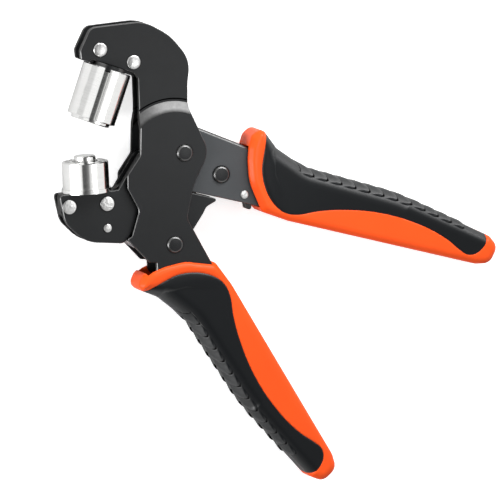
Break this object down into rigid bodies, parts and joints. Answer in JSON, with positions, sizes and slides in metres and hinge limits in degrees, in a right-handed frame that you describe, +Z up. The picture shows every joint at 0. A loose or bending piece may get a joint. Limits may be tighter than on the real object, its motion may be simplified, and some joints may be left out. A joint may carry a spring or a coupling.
{
  "type": "hand eyelet pliers",
  "caption": "Hand pliers that set an eyelet between a fixed slotted die and a toggle-driven moving die, with two-colour moulded grips.",
  "frame": {"origin": "middle of the outline, on the surface that the tool lies on", "axes": "+Z up from that surface, along the pivot pins; +Y along the frame plates towards the head that holds the fixed die; +X towards the free end of the upper grip"},
  "size_m": [0.2404, 0.246, 0.026],
  "materials": {
    "black_sheet": "satin black oxide, bevelled edges",
    "handle_steel": "satin dark grey",
    "black_pins": "gloss black",
    "washer_steel": "satin black",
    "die_steel": "bright plated",
    "rivet_steel": "bright",
    "spring_steel": "drawn wire",
    "orange_plastic": "satin moulded",
    "black_rubber": "matt soft grip",
    "black_plastic": "satin"
  },
  "bodies": {
    "frame": {"frame_plate_front": "black_sheet", "frame_plate_rear": "black_sheet", "upper_die_holder": "black_sheet", "upper_die_sleeve": "die_steel", "upper_die_punch": "die_steel", "head_rivets": "rivet_steel", "pivot_pin": "black_pins", "link_pin": "black_pins", "link_washers": "washer_steel", "tang_spacer": "black_sheet", "tang_rivets": "rivet_steel", "spring_post": "rivet_steel", "lower_grip_core": "orange_plastic", "lower_grip_cover": "black_rubber"},
    "jaw": {"jaw_plate_front": "black_sheet", "jaw_plate_rear": "black_sheet", "jaw_arm": "black_sheet", "lower_die_body": "die_steel", "pilot_clip": "spring_steel", "jaw_rivets": "rivet_steel", "spring_pin": "rivet_steel", "pilot_spring": "spring_steel", "return_spring": "spring_steel"},
    "pilot": {"lower_die_pilot": "die_steel"},
    "link": {"toggle_link": "black_sheet"},
    "handle": {"handle_channel": "handle_steel", "handle_pin": "black_pins", "handle_washers": "washer_steel", "knuckle_pin": "black_pins", "channel_plug": "black_plastic", "plug_pin": "rivet_steel", "upper_grip_core": "orange_plastic", "upper_grip_cover": "black_rubber"}
  },
  "joints": [
    {"name": "jaw_pivot", "type": "hinge", "parent": "frame", "child": "jaw", "pos_m": [-0.05293, 0.05371, 0.013], "axis": [0, 0, -1], "range_deg": [0, 21.5], "stiffness_Nm_per_rad": 2, "springref_deg": -17.19, "deforming": ["return_spring"]},
    {"name": "handle_pivot", "type": "hinge", "parent": "jaw", "child": "handle", "pos_m": [-0.03193, 0.04131, 0.013], "axis": [0, 0, -1], "range_deg": [0, 7.5]},
    {"name": "link_pivot", "type": "hinge", "parent": "frame", "child": "link", "pos_m": [-0.05833, 0.00551, 0.013], "axis": [0, 0, 1], "range_deg": [0, 9.4]},
    {"name": "pilot_slide", "type": "slide", "parent": "jaw", "child": "pilot", "axis": [0.0471, -0.9989, 0], "range_m": [0, 0.003], "stiffness_N_per_m": 800, "springref_m": -0.002, "deforming": ["pilot_spring"]}
  ],
  "couplings": [
    {"joint": "handle_pivot", "follows": "jaw_pivot", "ratio": 0.3458},
    {"joint": "link_pivot", "follows": "jaw_pivot", "ratio": 0.4348}
  ]
}
